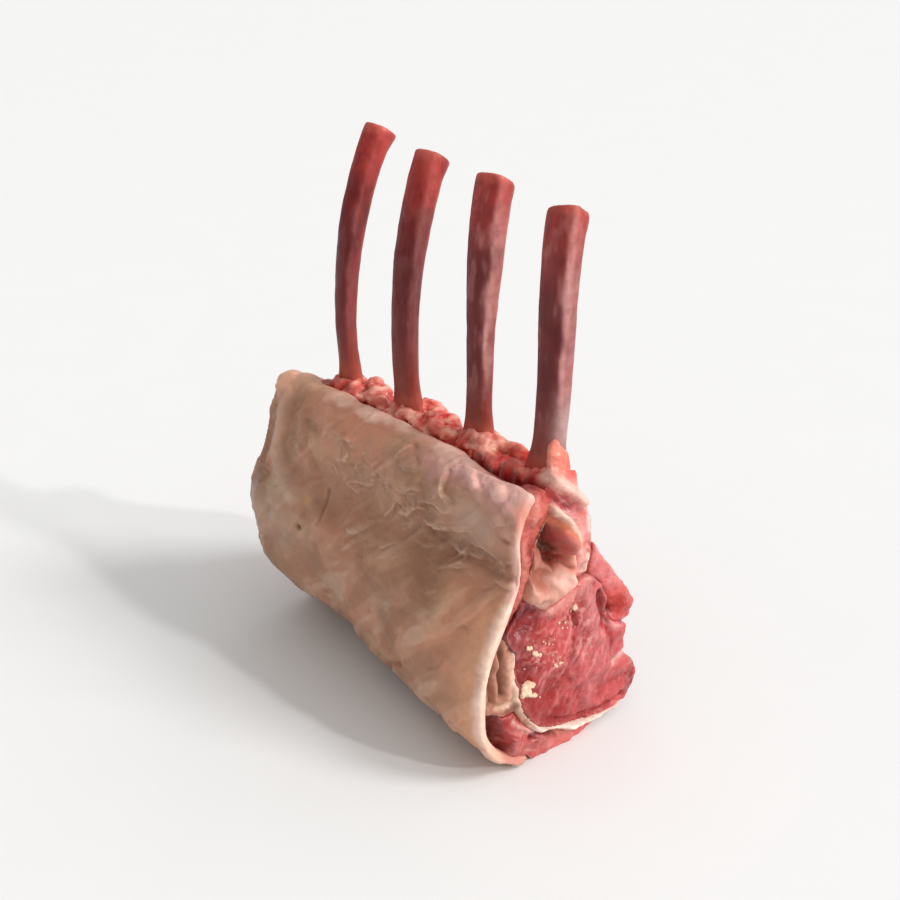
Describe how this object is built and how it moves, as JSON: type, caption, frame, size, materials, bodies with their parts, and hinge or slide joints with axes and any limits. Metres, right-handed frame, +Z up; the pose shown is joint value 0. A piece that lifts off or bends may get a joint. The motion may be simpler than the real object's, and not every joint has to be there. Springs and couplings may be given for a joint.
{
  "type": "rack of lamb",
  "caption": "Raw frenched rack of lamb standing on its thick side, with a fat cap, a cut face that shows the loin eye, and bare ribs.",
  "frame": {"origin": "middle of the bounding box at the flat base that the rack stands on", "axes": "+X along the rack towards the near cut end beside rib_4, -Y out of the fat cap, +Y out of the inner side that the ribs curve over, +Z up along the ribs"},
  "size_m": [0.118, 0.0628, 0.1624],
  "materials": {
    "rib_bone": "damp scraped bone with a thin film of red",
    "fat_cap": "dry creamy tan fat, softly creased",
    "cap_lean": "wet coral lean",
    "rib_meat": "wet knobbly lean with fat lumps",
    "seam_fat": "damp cream to pink fat",
    "loin_eye": "wet red-pink cut muscle, lightly marbled",
    "chine_muscle": "wet red cut muscle",
    "flank_fat": "damp tan fat folds with a white silverskin edge",
    "under_muscle": "wet red-pink cut muscle"
  },
  "bodies": {
    "root": {"rib_1": "rib_bone", "rib_2": "rib_bone", "rib_3": "rib_bone", "rib_4": "rib_bone", "fat_cap": "fat_cap", "cap_lean": "cap_lean", "rib_meat": "rib_meat", "seam_fat": "seam_fat", "loin_eye": "loin_eye", "chine_muscle": "chine_muscle", "flank_fat": "flank_fat", "under_muscle": "under_muscle"}
  },
  "joints": []
}
